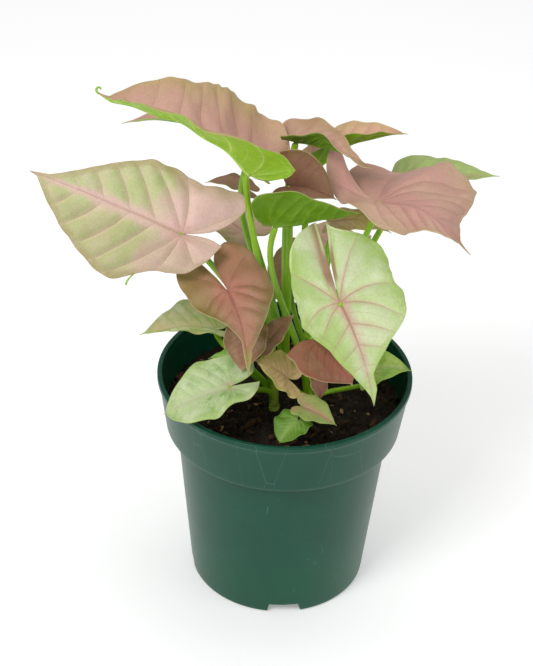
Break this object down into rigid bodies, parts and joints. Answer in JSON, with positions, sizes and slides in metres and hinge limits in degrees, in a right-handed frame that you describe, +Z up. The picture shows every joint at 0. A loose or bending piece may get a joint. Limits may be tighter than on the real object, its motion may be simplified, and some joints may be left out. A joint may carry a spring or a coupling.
{
  "type": "potted arrowhead plant",
  "caption": "Young pink arrowhead plant with arrow-shaped leaves on slender stalks, growing in soil in a tapered round nursery pot with a rim band.",
  "frame": {"origin": "middle of the pot's flat underside", "axes": "+Z up, the way the plant grows; -Y the plant's front; +X to its right seen from the front"},
  "size_m": [0.1907, 0.1163, 0.2364],
  "materials": {
    "pot": "satin moulded dark green plastic",
    "soil": "dark damp potting mix with bark and wood bits",
    "stalk": "smooth living green stalks",
    "leaf_pink": "satin dusty pink leaf, green beneath",
    "leaf_blush": "satin pale pink and green leaf",
    "leaf_green": "satin pale green leaf with pink veins",
    "leaf_lime": "satin fresh green leaf"
  },
  "bodies": {
    "root": {"pot": "pot", "soil": "soil", "shoot_left": "stalk", "shoot_front": "stalk", "shoot_back": "stalk", "shoot_right": "stalk", "leaf_top_left": "leaf_pink", "leaf_top_left_lower": "leaf_pink", "leaf_left_broad": "leaf_blush", "leaf_front_left": "leaf_pink", "leaf_rim_left": "leaf_green", "leaf_low_left": "leaf_green", "leaf_front_right": "leaf_green", "leaf_right_broad": "leaf_pink", "leaf_top_center": "leaf_pink", "leaf_top_right": "leaf_pink", "leaf_right_back": "leaf_green", "leaf_center": "leaf_pink", "leaf_center_under": "leaf_pink", "leaf_back_left_small": "leaf_pink", "leaf_right_under": "leaf_pink", "leaf_low_olive": "leaf_pink", "leaf_low_red": "leaf_pink", "leaf_low_bud": "leaf_pink", "leaf_low_front": "leaf_green", "leaf_round_front": "leaf_lime", "leaf_rim_right": "leaf_green", "leaf_inner_small": "leaf_pink", "leaf_inner_right": "leaf_pink", "leaf_inner_left": "leaf_pink", "leaflet_left": "leaf_lime", "leaf_inner_back": "leaf_pink", "leaf_back_right": "leaf_pink", "leaf_back_left": "leaf_pink", "leaf_back_low": "leaf_green"}
  },
  "joints": []
}
